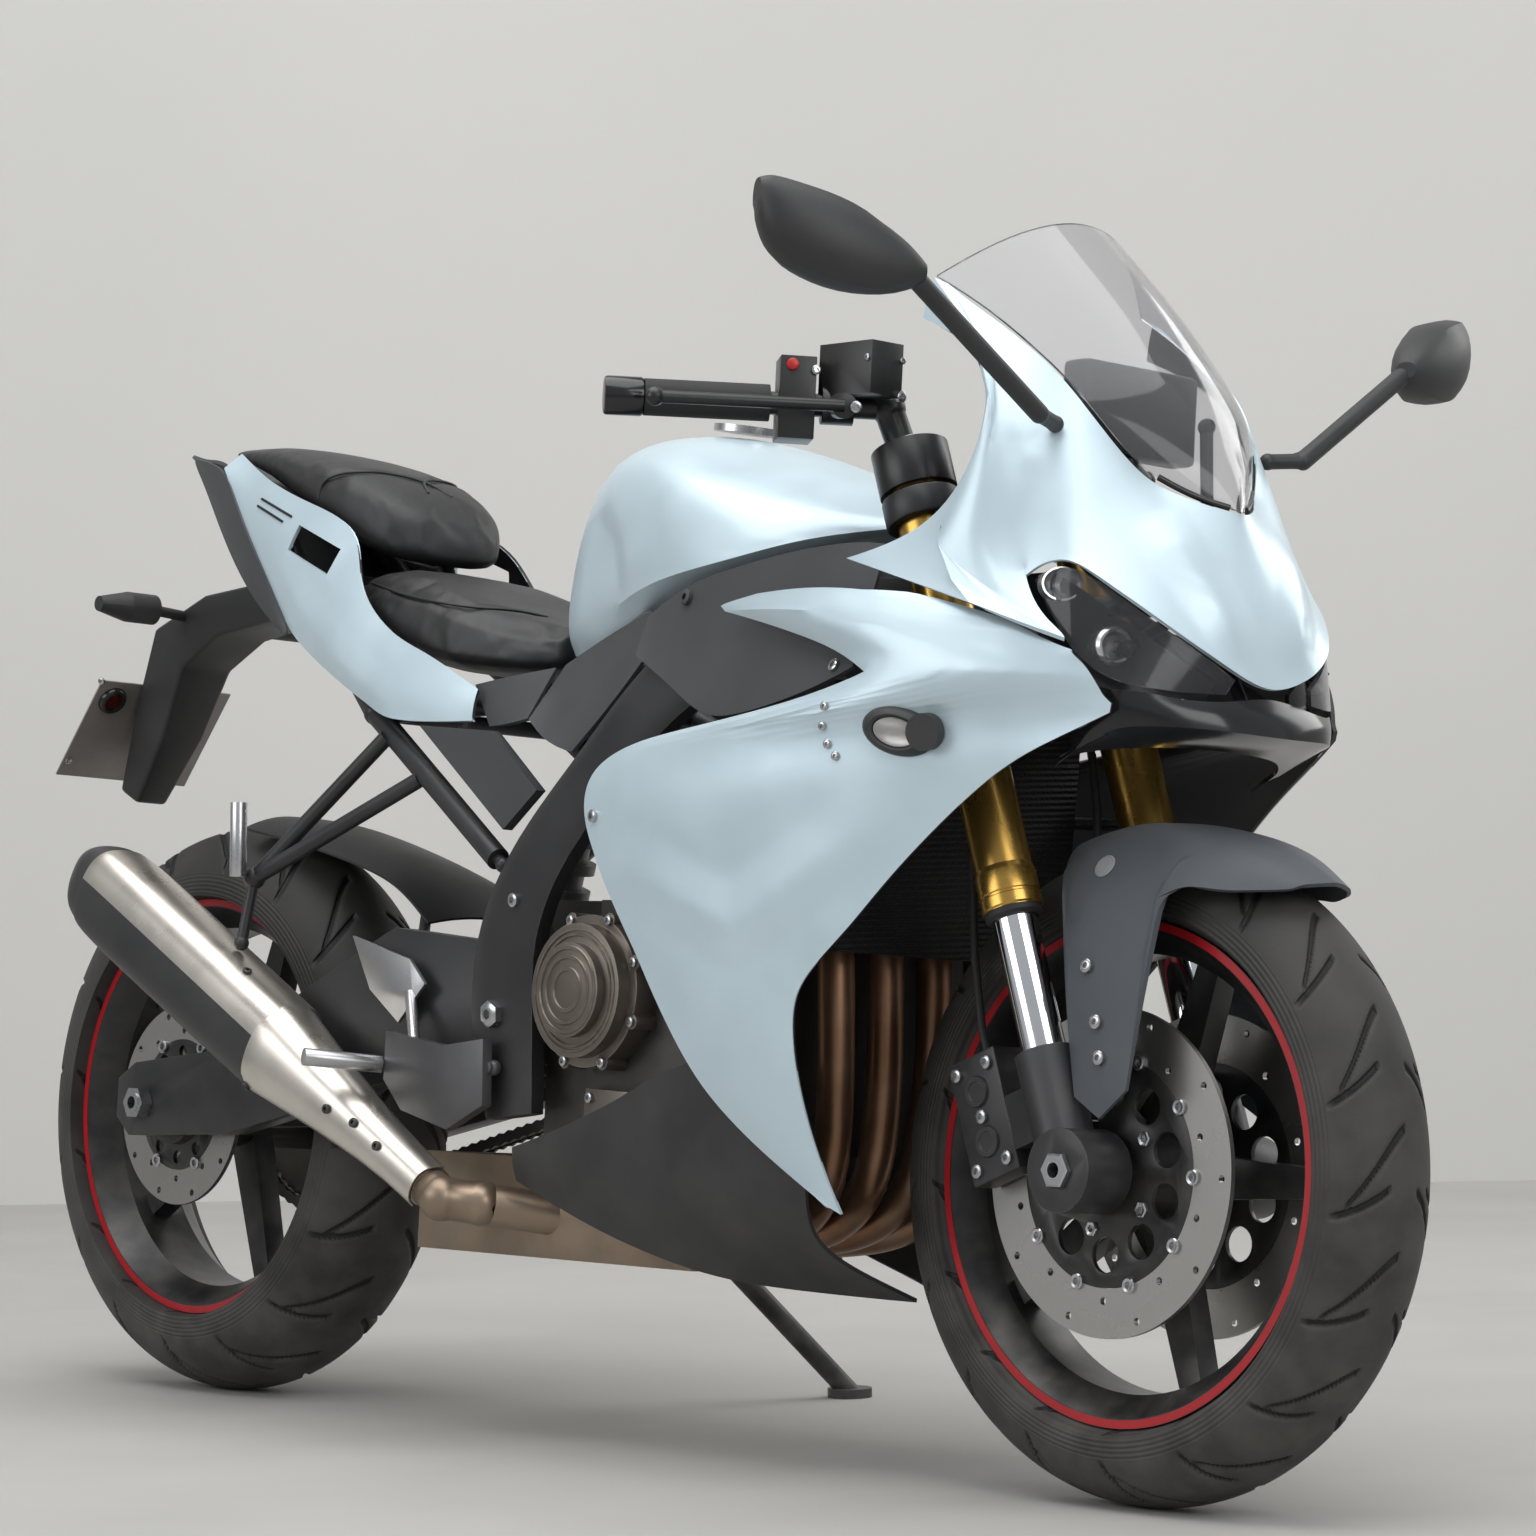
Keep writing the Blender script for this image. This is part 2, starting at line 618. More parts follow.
def heat_shield(name, pieces, way, least, proud, wall):
    """A pressed shield over the outer side of a pipe, standing a little off it."""
    shells = []
    for piece in pieces:
        shell = piece.copy()
        shell.data = piece.data.copy()
        for key in list(shell.keys()):
            del shell[key]
        shell.parent = None
        bpy.context.scene.collection.objects.link(shell)
        only(shell)
        bpy.ops.object.mode_set(mode="EDIT")
        pick_faces(shell, way, least)
        bpy.ops.mesh.select_all(action="INVERT")
        bpy.ops.mesh.delete(type="FACE")
        mesh_shut()
        worked(shell, "DISPLACE", strength=proud, mid_level=0)
        shells.append(shell)
    only(shells[0])
    for shell in shells[1:]:
        shell.select_set(True)
    if len(shells) > 1:
        bpy.ops.object.join()
    worked(shells[0], "SOLIDIFY", thickness=wall, offset=1)
    return joined(name, [shells[0]], silencer_steel, "chassis")


shield = heat_shield("link_shield", [link_cone], way_of(0, -1, 0.35), 0.05, 0.002, 0.0015)
shield_screw_pixels = ((247, 972), (234, 1098), (327, 1109), (354, 1123), (377, 1146))
spots = [seen(*px, shield, silencer) for px in shield_screw_pixels]
screw_heads("shield_screws", "chassis", spots, 0.005, cap_grey)

# Swingarm, rear shock and chain
# The arm is a pair of pressed and welded beams, satin black; the shock stands upright behind the
# engine; the chain runs in an open loop on the left.
spring_grey = finish("spring_grey", (0.12, 0.12, 0.12), (0.2, 0.2, 0.2), 0.4, 0.7, 300, 0.05, 0.3)
chain_steel = finish("chain_steel", (0.20, 0.185, 0.16), (0.10, 0.09, 0.08), 0.42, 0.85, 240, 0.1, 0.3)
bare_steel = finish("bare_steel", (0.55, 0.55, 0.56), (0.46, 0.46, 0.47), 0.28, 0.95, 800, 0.05, 0.15)
eased_casting("swingarm", frame_black, 0.005)
wear_as(spring_grey, "rear_shock")
wear_as(chain_steel, "chain", "rear_sprocket")
wear_as(bare_steel, "rear_axle", "front_axle")
stand_black = finish("stand_black", (0.018, 0.018, 0.018), (0.03, 0.03, 0.03), 0.45, 0.3, 600, 0.1, 0.4,
                     (0.2, 0.2, 0.2))
wear_as(stand_black, "side_stand")

# Wheels
# Cast aluminium rims with five spokes, painted satin black with a thin red line on the flange,
# drilled steel discs on black carriers, and road tyres.
rim_black = finish("rim_black", (0.014, 0.014, 0.015), (0.022, 0.022, 0.023), 0.35, 0.3, 600, 0.06, 0.35)
disc_steel = finish("disc_steel", (0.50, 0.485, 0.46), (0.40, 0.39, 0.37), 0.3, 0.95, 900, 0.06, 0.1)
stripe_red = finish("stripe_red", (0.42, 0.012, 0.018), (0.36, 0.01, 0.015), 0.35, 0.0, 300, 0.03)
front_hub, rear_hub = bike(WHEELBASE, 0, FRONT_R), bike(0, 0, REAR_R)
# Tread grooves: half width and easing as shares of a pitch, then where they start and end on the crown.
LONG_GROOVE = (0.022, 0.05), (0.10, 0.13), (0.80, 0.86)
SHORT_GROOVE = (0.018, 0.04), (0.36, 0.40), (0.88, 0.95)


def road_rubber(name, hub, crown, blocks, sweep):
    """Tyre rubber with swept grooves through the tread and fine rings on the wall."""
    material = finish(name, (0.021, 0.020, 0.019), (0.042, 0.040, 0.037), 0.70, 0.0, 500, 0.3, 0.22)
    nodes, links = material.node_tree.nodes, material.node_tree.links
    skin = nodes["Principled BSDF"]
    place = nodes.new("ShaderNodeTexCoord")
    wheel = nodes.new("ShaderNodeMapping")
    wheel.vector_type = "TEXTURE"
    wheel.inputs["Location"].default_value = hub
    wheel.inputs["Rotation"].default_value = (-LEAN, 0, 0)
    axes = nodes.new("ShaderNodeSeparateXYZ")
    links.new(place.outputs["Object"], wheel.inputs["Vector"])
    links.new(wheel.outputs["Vector"], axes.inputs[0])

    def then(kind, first, second=None):
        step = sum_of(nodes, kind)
        links.new(first, step.inputs[0])
        if isinstance(second, float):
            step.inputs[1].default_value = second
        elif second is not None:
            links.new(second, step.inputs[1])
        return step.outputs[0]

    def band(value, low, high, to_low=0.0, to_high=1.0):
        ramp = sloped(nodes, low, high, to_low, to_high)
        links.new(value, ramp.inputs["Value"])
        return ramp.outputs["Result"]

    turns = then("MULTIPLY", then("ARCTAN2", axes.outputs["Z"], axes.outputs["X"]), blocks / (2 * math.pi))
    side = then("DIVIDE", axes.outputs["Y"], crown)
    out = then("ABSOLUTE", side)
    stagger = then("MULTIPLY", then("GREATER_THAN", side, 0.0), 0.5)
    phase = then("ADD", then("ADD", turns, stagger), then("MULTIPLY", then("POWER", out, 1.6), sweep))
    long_cut = band(then("ABSOLUTE", then("SUBTRACT", then("FRACT", phase), 0.5)), *LONG_GROOVE[0], 1, 0)
    long_cut = then("MULTIPLY", long_cut, band(out, *LONG_GROOVE[1]))
    long_cut = then("MULTIPLY", long_cut, band(out, *LONG_GROOVE[2], 1, 0))
    phase = then("SUBTRACT", then("ADD", turns, 0.32), then("MULTIPLY", out, -0.55 * sweep))
    short_cut = band(then("ABSOLUTE", then("SUBTRACT", then("FRACT", phase), 0.5)), *SHORT_GROOVE[0], 1, 0)
    short_cut = then("MULTIPLY", short_cut, band(out, *SHORT_GROOVE[1]))
    short_cut = then("MULTIPLY", short_cut, band(out, *SHORT_GROOVE[2], 1, 0))
    cuts = then("MAXIMUM", long_cut, short_cut)
    reach = then("ADD", then("POWER", axes.outputs["X"], 2.0), then("POWER", axes.outputs["Z"], 2.0))
    reach = then("SQRT", reach)
    rings = then("SINE", then("MULTIPLY", reach, 2 * math.pi / 0.0045))
    rings = then("MULTIPLY", rings, band(reach, 0.256, 0.258, 1, 0))
    dark = mixed(nodes, None, (0.006, 0.006, 0.006))
    links.new(cuts, dark.inputs[0])
    links.new(skin.inputs["Base Color"].links[0].from_socket, dark.inputs[6])
    links.new(dark.outputs[2], skin.inputs["Base Color"])
    carve = nodes.new("ShaderNodeBump")
    carve.inputs["Strength"].default_value = 0.9
    carve.inputs["Distance"].default_value = 0.003
    links.new(then("SUBTRACT", then("MULTIPLY", rings, 0.12), cuts), carve.inputs["Height"])
    links.new(skin.inputs["Normal"].links[0].from_socket, carve.inputs["Normal"])
    links.new(carve.outputs["Normal"], skin.inputs["Normal"])
    return material


def on_axle(piece, hub, out):
    """Lays a piece made round Z on the wheel's axle, at a distance to the left of the middle."""
    fore = Vector((1, 0, 0))
    laid = Matrix((fore, axle_way.cross(fore), axle_way))
    piece.data.transform(Matrix.Translation(hub + axle_way * out) @ laid.transposed().to_4x4())


def rim_line(name, body, hub, wide):
    """The thin painted line on a rim flange, right and left."""
    halves = []
    for out in (-wide, wide):
        bpy.ops.object.select_all(action="DESELECT")
        bpy.ops.mesh.primitive_circle_add(vertices=144, radius=0.2287, fill_type="NGON")
        band = bpy.context.object
        bpy.ops.object.mode_set(mode="EDIT")
        bpy.ops.mesh.inset(thickness=0.0076)
        bpy.ops.mesh.delete(type="FACE")
        mesh_shut()
        worked(band, "SOLIDIFY", thickness=0.0006, offset=0)
        on_axle(band, hub, out)
        halves.append(band)
    only(halves[0])
    halves[1].select_set(True)
    bpy.ops.object.join()
    halves[0].name = name
    halves[0].data.materials.append(stripe_red)
    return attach(halves[0], body)


eased_casting("front_rim", rim_black)
eased_casting("rear_rim", rim_black)
rim_line("front_rim_line", "front_wheel", front_hub, 0.0502)
rim_line("rear_rim_line", "rear_wheel", rear_hub, 0.0642)


def round_axle(hub, out, reach, count, first=0.0):
    """Places in a ring round an axle, at a distance from the middle plane."""
    a = [2 * math.pi * (k + first) / count for k in range(count)]
    fore = Vector((1, 0, 0))
    up = fore.cross(axle_way)
    return [hub + axle_way * out + (fore * math.cos(x) + up * math.sin(x)) * reach for x in a]


bobbin = [(0, 0), (3.4, 0), (3.6, 3.2), (6.2, 3.6), (7.4, 2.6), (7.4, 0)]
moves = [looking(p, axle_way * s) for s in (-1, 1) for p in round_axle(front_hub, s * 0.0666, 0.1045, 10)]
joined("disc_bobbins", copied(turned(bobbin, 16), moves), bolt_steel, "front_wheel")
moves = [looking(p, axle_way * s) for s in (-1, 1) for p in round_axle(front_hub, s * 0.0666, 0.054, 5, 0.5)]
joined("carrier_bolts", copied(turned(bobbin, 6), moves), bolt_steel, "front_wheel")
moves = [looking(p, -axle_way) for p in round_axle(rear_hub, -0.0926, 0.0725, 6)]
joined("rear_bobbins", copied(turned(bobbin, 16), moves), bolt_steel, "rear_wheel")
ring_nut = [(8.2, 0), (8.2, 5), (9.5, 6), (15, 6), (17, 4.5), (17.5, 0)]
moves = [looking(bike(WHEELBASE, s * 132.3, FRONT_R), axle_way * s) for s in (-1, 1)]
joined("front_axle_nuts", copied(turned(ring_nut, 6), moves), bolt_steel, "steering")
wear_as(disc_steel, "front_discs", "rear_disc")


def ramped(value, low, high):
    return max(0.0, min(1.0, (value - low) / (high - low)))


def moulded_tyre(name, hub, radius, crown, bead, blocks, sweep):
    """A tyre spun from its section, with the tread grooves pressed in as its mould does."""
    core, arc = radius - crown, [math.radians(-90 + 180 * k / 76) for k in range(77)]
    section = [(220, -bead + 9), (229, -bead + 4.5)]
    section += [(core + crown * math.cos(t), crown * math.sin(t)) for t in arc]
    section += [(229, bead - 4.5), (220, bead - 9), (220, bead - 18), (core, bead - 18)]
    section += [(core + (crown - 9) * math.cos(t), (crown - 9) * math.sin(t)) for t in reversed(arc[::6])]
    section += [(core, 18 - bead), (220, 18 - bead), (220, -bead + 9)]
    tyre = turned(section, 700)
    on_axle(tyre, hub, 0)
    fore, up = Vector((1, 0, 0)), Vector((1, 0, 0)).cross(axle_way)
    for point in tyre.data.vertices:
        off = point.co - hub
        x, y, z = off.dot(fore), off.dot(axle_way), off.dot(up)
        reach, side = math.hypot(x, z), y / crown * 1000
        if reach < (core + 4) / 1000 or math.hypot(reach * 1000 - core, y * 1000) < crown - 2:
            continue
        out, turns = abs(side), math.atan2(z, x) * blocks / (2 * math.pi)
        long_off = abs((turns + (0.5 if side > 0 else 0.0) + out ** 1.6 * sweep) % 1.0 - 0.5)
        short_off = abs((turns + 0.32 + 0.55 * sweep * out) % 1.0 - 0.5)
        long_cut = (1 - ramped(long_off, *LONG_GROOVE[0])) * ramped(out, *LONG_GROOVE[1])
        long_cut *= 1 - ramped(out, *LONG_GROOVE[2])
        short_cut = (1 - ramped(short_off, *SHORT_GROOVE[0])) * ramped(out, *SHORT_GROOVE[1])
        short_cut *= 1 - ramped(out, *SHORT_GROOVE[2])
        inward = (fore * x + up * z).normalized() * (reach * 1000 - core) + axle_way * y * 1000
        point.co -= inward.normalized() * 0.0032 * max(long_cut, short_cut)
    return settle(tyre, name, road_rubber(name + "_rubber", hub, crown / 1000, blocks, sweep))


moulded_tyre("front_tyre", front_hub, FRONT_R, 62, 50, 17, 0.9)
moulded_tyre("rear_tyre", rear_hub, REAR_R, 80, 64, 16, 1.0)

# Fork
# Upside-down fork: gold anodised outer tubes in two clamps, chromed inner tubes, cast feet.
fork_gold = finish("fork_gold", (0.58, 0.36, 0.09), (0.50, 0.30, 0.07), 0.26, 0.95, 900, 0.03, 0.1)
fork_chrome = finish("fork_chrome", (0.78, 0.78, 0.80), (0.70, 0.70, 0.72), 0.09, 1.0, 300, 0.01)
wear_as(fork_gold, "fork_tubes")
wear_as(fork_chrome, "fork_stanchions")


def on_leg(back, out, along):
    """A place by the fork leg: behind its line, out from the middle plane, along it from axle height."""
    c, s = math.cos(RAKE), math.sin(RAKE)
    return bike(1390 - back * c - along * s, out, 300 - back * s + along * c)


def on_legs(along):
    """Moves on to the middle line of the right and the left fork leg."""
    leg_out = 104
    return [looking(on_leg(0, s * leg_out, along), steer_way) for s in (-1, 1)]


collar = [(27.1, 0), (28.8, 1.5), (28.8, 11), (27.7, 12), (27.7, 14), (28.8, 15), (28.8, 34), (28.2, 36),
          (27.1, 40)]
joined("tube_collars", copied(turned(collar, 48), on_legs(248.5)), fork_gold, "steering")
seal = [(20.8, 0), (23.5, 0), (26.6, 3), (26.6, 7.8), (20.8, 7.8)]
seal_rubber = finish("seal_rubber", (0.012, 0.012, 0.012), (0.02, 0.02, 0.02), 0.6, 0.0, 500, 0.1)
joined("dust_seals", copied(turned(seal, 40), on_legs(239.9)), seal_rubber, "steering")
tube_cap = [(0, 5), (6, 5), (7, 3), (12, 3), (13, 7), (20, 7), (24, 5), (26.5, 0)]
joined("tube_caps", copied(turned(tube_cap, 40), on_legs(713.5)), bolt_steel, "steering")
wear_as(seal_rubber, "brake_hoses")
eased_casting("fork_feet", frame_black, 0.004)
eased_casting("triple_clamps", frame_black, 0.003)
eased_casting("calipers", frame_black, 0.008)


def on_caliper(fore, out, along):
    """A place by the right caliper's middle, along and across its slanted length."""
    c, s = math.cos(RAKE), math.sin(RAKE)
    return bike(1268 + fore * c - along * s, -64 + out, 344 + fore * s + along * c)


caliper_face = -34
bolt_places = ((-20, -46), (20, -46), (-20, 46), (20, 46), (0, 0))
spots = [(on_caliper(fore, caliper_face, along), -axle_way) for fore, along in bolt_places]
screw_heads("caliper_bolts", "steering", both_sides(spots), 0.0065, bolt_steel)
piston = [(0, 0), (0, 1.5), (9, 1.5), (10, 3), (13.5, 3), (15, 0)]
spots = both_sides([(on_caliper(0, caliper_face, along), -axle_way) for along in (-24, 24)])
joined("caliper_caps", copied(turned(piston, 28), [looking(p, w) for p, w in spots]), frame_black, "steering")
fender_grey = finish("fender_grey", (0.050, 0.058, 0.068), (0.062, 0.070, 0.080), 0.55, 0.0, 1500, 0.25, 0.2)
fender = rounded_panel("front_fender", fender_grey, 40)
fender_screw_pixels = ((1088, 966), (1097, 1022), (1100, 1058))
fender_cap_pixel = (1105, 866)
spots = both_sides([seen(*px, fender) for px in fender_screw_pixels])
screw_heads("fender_screws", "steering", spots, 0.0065, bolt_steel)
cap = [(0, 2.2), (7, 2.2), (8, 1.2), (10, 1.2), (11.5, 0)]
spots = both_sides([seen(*fender_cap_pixel, fender)])
cap_light = finish("cap_light", (0.20, 0.21, 0.22), (0.24, 0.25, 0.26), 0.5, 0.0, 700, 0.1)
joined("fender_caps", copied(turned(cap, 32), [looking(p, w) for p, w in spots]), cap_light, "steering")

# Bars and controls
# Clip-on bars with rubber grips, weights at the ends, levers, switch boxes and a fluid reservoir.
# The boxes are moulded in halves and screwed together round the bar.
grip_rubber = finish("grip_rubber", (0.012, 0.012, 0.012), (0.02, 0.02, 0.02), 0.7, 0.0, 900, 0.5)
control_black = finish("control_black", (0.014, 0.014, 0.015), (0.022, 0.022, 0.022), 0.36, 0.1, 800, 0.1)
gloss_black = finish("gloss_black", (0.010, 0.010, 0.011), (0.014, 0.014, 0.015), 0.16, 0.0, 300, 0.02)
wear_as(grip_rubber, "grips")
levers = eased_casting("controls", control_black, 0.002)
switch_box = eased_casting("switchgear", control_black, 0.004)
eased_casting("bar_weights", gloss_black, 0.003)
eased_casting("handlebars", control_black, 0.002)
dash = eased_casting("instruments", control_black, 0.006)
second_finish(dash, gloss_black, lambda face: face.normal.dot(way_of(-1, 0, 0.8)) > 0.9)
button_red = finish("button_red", (0.45, 0.015, 0.012), (0.40, 0.012, 0.01), 0.35, 0.0, 400, 0.03)
stop_button_pixel, switch_screw_pixel = (793, 364), (816, 370)
reservoir_screw_pixels = ((868, 357), (914, 361))
lever_bolt_pixels = ((856, 407), (900, 419))
button = [(0, 3.4), (4.2, 3.4), (5.4, 2.6), (6, 0)]
moves = [looking(*seen(*stop_button_pixel, switch_box))]
joined("stop_button", copied(turned(button, 24), moves), button_red, "steering")
screw_heads("switch_screws", "steering", [seen(*switch_screw_pixel, switch_box)], 0.0045, bolt_steel)
spots = [seen(*px, levers) for px in reservoir_screw_pixels]
screw_heads("reservoir_screws", "steering", spots, 0.0034, bolt_steel)
spots = [seen(*px, levers) for px in lever_bolt_pixels]
screw_heads("lever_bolts", "steering", spots, 0.0055, bolt_steel)

# Bodywork
# Injection moulded panels in pale ice blue metallic under a satin clear coat, screwed to the frame,
# with grey moulded covers between them and a black pan below.
ice_blue = finish("ice_blue", (0.52, 0.64, 0.70), (0.55, 0.67, 0.73), 0.40, 0.35, 2600, 0.05, 0.05, None, 0.3)
panel = {}
for name in ("tank", "tail_right", "tail_left", "fairing_right", "fairing_left", "cowl"):
    panel[name] = rounded_panel(name, ice_blue, 34, 2, 24)


def pressed_line(piece, spots, height, width):
    """Presses a line into a panel, proud or sunk, easing off on both sides and towards its ends."""
    middle = sum(spots, Vector()) / len(spots)
    span = max((spot - middle).length for spot in spots) + width
    for point in piece.data.vertices:
        if (point.co - middle).length > span:
            continue
        nearest, share = width, 0.0
        for k in range(len(spots) - 1):
            run = spots[k + 1] - spots[k]
            t = max(0.0, min(1.0, (point.co - spots[k]).dot(run) / run.length_squared))
            off = (point.co - spots[k] - run * t).length
            if off < nearest:
                nearest, share = off, (k + t) / (len(spots) - 1)
        if nearest < width:
            ends = min(1.0, 4 * share, 4 * (1 - share))
            point.co += point.normal * height * (1 - nearest / width) * ends


def pressed_pair(right, left, pixels, height, width):
    """Presses one line into the right side, as the picture has it, and its mirror image into the left."""
    line = [seen(*px, right)[0] for px in pixels]
    pressed_line(right, line, height, width)
    pressed_line(left, [far_side(p) for p in line], height, width)


sides = panel["fairing_right"], panel["fairing_left"]
upper_line_pixels = ((862, 568), (910, 590), (960, 607), (1010, 625), (1046, 640))
lower_line_pixels = ((596, 848), (660, 885), (732, 928), (820, 860), (896, 800))
tank_line_pixels = ((607, 462), (628, 520), (655, 598))
cowl_line_pixels = ((1150, 515), (1185, 560), (1220, 610), (1246, 664))
tail_line_pixels = ((262, 530), (300, 605), (345, 665), (400, 715))
pressed_pair(*sides, upper_line_pixels, 0.0045, 0.030)
pressed_pair(*sides, lower_line_pixels, 0.004, 0.040)
pressed_pair(panel["tank"], panel["tank"], tank_line_pixels, 0.006, 0.042)
pressed_pair(panel["cowl"], panel["cowl"], cowl_line_pixels, 0.005, 0.034)
pressed_pair(panel["tail_right"], panel["tail_left"], tail_line_pixels, 0.003, 0.030)
panel_grey = finish("panel_grey", (0.040, 0.042, 0.046), (0.052, 0.054, 0.058), 0.55, 0.0, 1400, 0.3, 0.12)
matt_black = finish("matt_black", (0.016, 0.016, 0.017), (0.026, 0.026, 0.027), 0.5, 0.0, 1200, 0.25, 0.12)
for name in ("side_panels", "side_covers", "tail_under"):
    panel[name] = rounded_panel(name, panel_grey, 34)
for name in ("belly_pan", "nose_chin", "hugger"):
    panel[name] = rounded_panel(name, matt_black, 34)
panel["nose_chin"].data.materials[0] = gloss_black
inside = bike(1170, 0, 880)
for name, lining in (("fairing_right", axle_way), ("fairing_left", -axle_way), ("tail_right", axle_way),
                     ("tail_left", -axle_way), ("cowl", None)):
    panel[name].data.materials.append(matt_black)
    for face in panel[name].data.polygons:
        way = lining or (inside - face.center).normalized()
        face.material_index = 1 if face.normal.dot(way) > 0.12 else 0
rivet_pixels = ((825, 706), (823, 726), (828, 744), (836, 756))
fairing_screw_pixel, cover_screw_pixel, cover_button_pixel = (594, 816), (835, 666), (688, 598)
slit_pixels = (((262, 499), (292, 517)), ((258, 506), (283, 522)))
rivets = both_sides([seen(*px, sides[0]) for px in rivet_pixels])
screw_heads("fairing_rivets", "chassis", rivets, 0.0042, bolt_steel)
spots = both_sides([seen(*fairing_screw_pixel, sides[0]), seen(*cover_screw_pixel, panel["side_covers"])])
screw_heads("fairing_screws", "chassis", spots, 0.0062, bolt_steel)
spots = both_sides([seen(*cover_button_pixel, panel["side_covers"])])
screw_heads("cover_buttons", "chassis", spots, 0.0075, panel_grey)
slits = []
for a, b in slit_pixels:
    steps = [(a[0] + (b[0] - a[0]) * t, a[1] + (b[1] - a[1]) * t) for t in (0, 0.33, 0.67, 1)]
    line = [seen(*px, panel["tail_right"])[0] for px in steps]
    slits += [hose("slit", "chassis", way, 0.0016, gloss_black) for way in line_pair(line)]
joined("tail_slits", slits, gloss_black, "chassis")

# Mirrors
# Moulded pods on bent stalks, with silvered glass let into the side that looks back.
mirror_glass = finish("mirror_glass", (0.80, 0.82, 0.83), (0.76, 0.78, 0.79), 0.04, 1.0, 200, 0.0)
mirrors = rounded_panel("mirrors", matt_black, 34, 1)
second_finish(mirrors, mirror_glass, lambda face: face.normal.dot(way_of(-1, 0, 0)) > 0.86)

# Indicators
# Clear lenses in soft black bezels: flat ovals on the fairing, drop shapes on the plate arm.
wear_as(matt_black, "indicators")


def clear_plastic(name, tint, rough):
    material = finish(name, tint, tint, rough, 0.0, 300, 0.0)
    material.node_tree.nodes["Principled BSDF"].inputs["Transmission Weight"].default_value = 0.95
    material.node_tree.nodes["Principled BSDF"].inputs["IOR"].default_value = 1.3
    return material


lamp_clear = clear_plastic("lamp_clear", (0.86, 0.85, 0.83), 0.12)
lamp_silver = finish("lamp_silver", (0.66, 0.66, 0.67), (0.58, 0.58, 0.59), 0.3, 0.9, 260, 0.4)
bezel = [(0, 6.5), (13.2, 6.5), (14, 10.5), (16, 11.5), (19, 9.5), (22, 4.5), (23, -1.5)]
cup = [(0, 6.8), (5, 7.0), (10, 8.2), (13.2, 9.6)]
dome = [(0, 14), (5, 13.6), (9.5, 12.2), (13.2, 9.8), (13.2, 9.2), (9, 11.2), (0, 13)]
indicator_pixel = (900, 731)
spots = both_sides([seen(*indicator_pixel, sides[0])])
for label, profile, material in (
        ("bezels", bezel, matt_black), ("cups", cup, lamp_silver), ("lenses", dome, lamp_clear)):
    moves = [looking(p, w) @ Matrix.Rotation(math.radians(12 * s), 4, "Z") @ Matrix.Diagonal((1.72, 1, 1, 1))
             for (p, w), s in zip(spots, (-1, 1))]
    joined("indicator_" + label, copied(turned(profile, 40), moves), material, "chassis")

# Headlamps
# Two smoked polycarbonate lenses over black bowls. Each bowl holds a projector with a bright rim and
# a clear position lamp in its upper corner, and has fine ribs on its inner side.
lamp_smoke = clear_plastic("lamp_smoke", (0.42, 0.42, 0.44), 0.03)
rounded_panel("headlamps", lamp_smoke, 34)
bowl = copy_of("headlamps")
bowl.data.transform(Matrix.Translation(bike(-26, 0, -4) - bike(0, 0, 0)))
bpy.ops.object.shade_smooth_by_angle(angle=math.radians(34))
joined("lamp_bowls", [bowl], gloss_black, "chassis")
projector = [(0, 2), (9, 2), (11, 7), (13, 13), (15.5, 14), (18, 11), (18, -8)]
ball = [(0, 13), (4.5, 12.2), (8.5, 9.4), (10.6, 6)]
position = [(0, 0), (7, 1), (12, 5), (14, 8), (15.5, 8), (15.5, -6)]
projector_pixel, position_pixel = (1109, 648), (1060, 585)
for label, profile, px, size, material in (
        ("projectors", projector, projector_pixel, 1.0, lamp_silver),
        ("projector_glass", ball, projector_pixel, 1.0, lamp_clear),
        ("position_cups", position, position_pixel, 1.25, lamp_silver)):
    spots = both_sides([seen(*px, bowl)])
    moves = [looking(p, (w + way_of(1, 0, 0)).normalized()) @ Matrix.Diagonal((size, 1, 1, 1))
             for p, w in spots]
    joined(label, copied(turned(profile, 32), moves), material, "chassis")
ribs = []
bowl_corner, bowl_lean = (1039, 574), 0.57
rib_rows = range(600, 668, 8)
for py in rib_rows:
    left = bowl_corner[0] + (py - bowl_corner[1]) * bowl_lean
    line = [seen(left + reach, py + 0.1 * reach, bowl)[0] for reach in (0, 16, 32, 46)]
    ribs += [hose("rib", "chassis", way, 0.0011, gloss_black) for way in line_pair(line)]
joined("lamp_ribs", ribs, gloss_black, "chassis")

# Windscreen
# Lightly tinted acrylic, heat formed, held along its foot in a black rubber strip.
screen_tint = clear_plastic("screen_tint", (0.74, 0.74, 0.76), 0.04)
screen = rounded_panel("windscreen", screen_tint, 34)
screen_foot_pixels = ((1158, 483), (1180, 493), (1205, 504), (1230, 514))
line = [seen(*px, screen)[0] for px in screen_foot_pixels]
strips = [hose("strip", "chassis", way, 0.003, gloss_black) for way in line_pair(line)]
joined("screen_strips", strips, gloss_black, "chassis")

# Plate arm
# A black moulded arm bolted under the tail, which holds the plate and a round red reflector.
plate_metal = finish("plate_metal", (0.30, 0.27, 0.25), (0.24, 0.22, 0.20), 0.4, 0.5, 400, 0.08, 0.1)
plate = eased_casting("number_plate", plate_metal, 0.0008)


